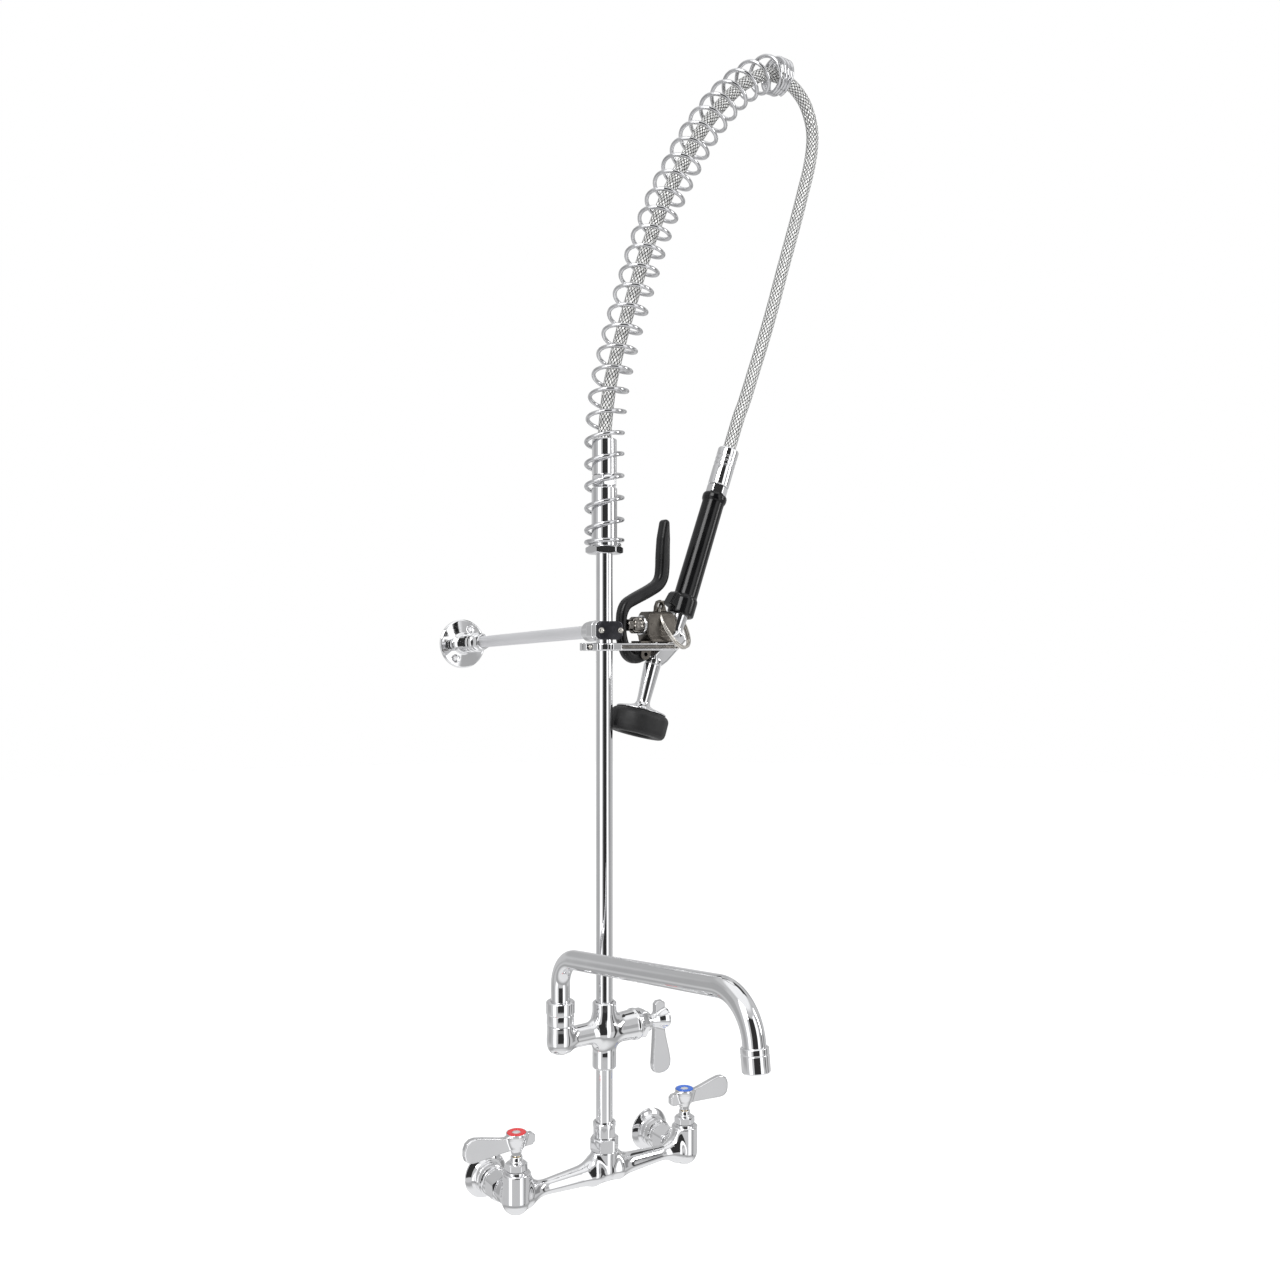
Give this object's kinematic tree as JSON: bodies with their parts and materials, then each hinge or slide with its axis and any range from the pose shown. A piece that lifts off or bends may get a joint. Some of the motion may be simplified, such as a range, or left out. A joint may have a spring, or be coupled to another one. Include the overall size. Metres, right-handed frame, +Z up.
{
  "type": "pre-rinse faucet",
  "caption": "Wall-mounted pre-rinse faucet with mixing base, add-on swing spout, riser, overhead spring, braided hose, squeeze spray valve, finger hook and wall bracket.",
  "frame": {"origin": "midway between the two supply inlets, on the wall plane that their flanges rest on", "axes": "+X from the hot inlet to the cold inlet, +Y into the wall, +Z up along the riser"},
  "size_m": [0.4507, 0.6546, 1.2295],
  "materials": {
    "chrome": "bright polished chrome plate",
    "spring_wire": "chromed spring wire",
    "satin_rod": "satin steel pipe",
    "dark_nickel": "dark nickel plate over a casting",
    "plain_steel": "turned steel",
    "brass": "machined brass",
    "braid": "braided stainless steel sleeve",
    "black_grip": "glossy black grip",
    "black_vinyl": "satin black dipped vinyl",
    "black_rubber": "matte black rubber",
    "fibre": "pressed fibre",
    "red_index": "glossy red disc",
    "blue_index": "glossy blue disc"
  },
  "bodies": {
    "root": {"mixing_body": "chrome", "hot_inlet_flange": "chrome", "cold_inlet_flange": "chrome", "hot_coupling_nut": "chrome", "cold_coupling_nut": "chrome", "coupling_washers": "fibre", "hot_cartridge": "brass", "cold_cartridge": "brass", "hot_bonnet": "chrome", "cold_bonnet": "chrome", "union_nut": "chrome", "union_adapter": "chrome", "lower_nipple": "chrome", "addon_body": "chrome", "addon_cartridge": "brass", "addon_bonnet": "chrome", "swivel_nut": "chrome", "swivel_seal": "black_rubber", "riser_pipe": "chrome", "spring_nut": "chrome", "hose_adapter": "chrome", "upper_ferrule": "chrome", "hose": "braid", "overhead_spring": "spring_wire", "hook_fork": "chrome", "hook_screw": "plain_steel"},
    "hot_handle_set": {"hot_stem": "brass", "hot_handle": "chrome", "hot_handle_screw": "plain_steel", "hot_index": "red_index"},
    "cold_handle_set": {"cold_stem": "brass", "cold_handle": "chrome", "cold_handle_screw": "plain_steel", "cold_index": "blue_index"},
    "addon_handle_set": {"addon_stem": "brass", "addon_handle": "chrome", "addon_handle_screw": "plain_steel"},
    "spout": {"spout_tube": "chrome", "aerator_shell": "chrome", "aerator_screen": "plain_steel"},
    "wall_bracket": {"bracket_hub": "chrome", "bracket_plate": "dark_nickel", "bracket_screws": "plain_steel", "bracket_rod": "satin_rod", "rod_collar": "chrome", "wall_flange": "chrome"},
    "spray_valve": {"lower_ferrule": "chrome", "grip_nut": "chrome", "grip": "black_grip", "valve_body": "dark_nickel", "valve_bonnet": "dark_nickel", "return_spring": "spring_wire", "lever_pin": "plain_steel", "nozzle": "chrome", "bumper": "black_rubber", "spray_face": "chrome"},
    "lever": {"squeeze_lever": "black_vinyl"},
    "plunger": {"valve_stem": "brass"},
    "ring": {"hold_ring": "chrome"}
  },
  "joints": [
    {"name": "hot_valve", "type": "hinge", "parent": "root", "child": "hot_handle_set", "pos_m": [-0.1016, -0.068, 0], "axis": [0, 0, 1], "range_deg": [0, 90]},
    {"name": "cold_valve", "type": "hinge", "parent": "root", "child": "cold_handle_set", "pos_m": [0.1016, -0.068, 0], "axis": [0, 0, 1], "range_deg": [-90, 0]},
    {"name": "addon_valve", "type": "hinge", "parent": "root", "child": "addon_handle_set", "pos_m": [0, -0.068, 0.147], "axis": [1, 0, 0], "range_deg": [-90, 0]},
    {"name": "spout_swing", "type": "hinge", "parent": "root", "child": "spout", "pos_m": [-0.052, -0.068, 0.2], "axis": [0, 0, 1], "range_deg": [-95, 66]},
    {"name": "bracket_height", "type": "slide", "parent": "root", "child": "wall_bracket", "axis": [0, 0, 1], "range_m": [0, 0.06]},
    {"name": "hook_release", "type": "slide", "parent": "root", "child": "spray_valve", "axis": [1, 0, 0], "range_m": [0, 0.065], "deforming": ["hose"]},
    {"name": "lever_squeeze", "type": "hinge", "parent": "spray_valve", "child": "lever", "pos_m": [0.045, -0.068, 0.532], "axis": [0, 1, 0], "range_deg": [0, 9], "stiffness_Nm_per_rad": 1.5, "springref_deg": -8.59},
    {"name": "plunger_travel", "type": "slide", "parent": "spray_valve", "child": "plunger", "axis": [1, 0, 0], "range_m": [0, 0.0052]},
    {"name": "ring_swing", "type": "hinge", "parent": "spray_valve", "child": "ring", "pos_m": [0.069, -0.068, 0.583], "axis": [0, 1, 0], "range_deg": [-45, 0]}
  ],
  "couplings": [
    {"joint": "plunger_travel", "follows": "lever_squeeze", "m_per_rad": 0.032}
  ]
}
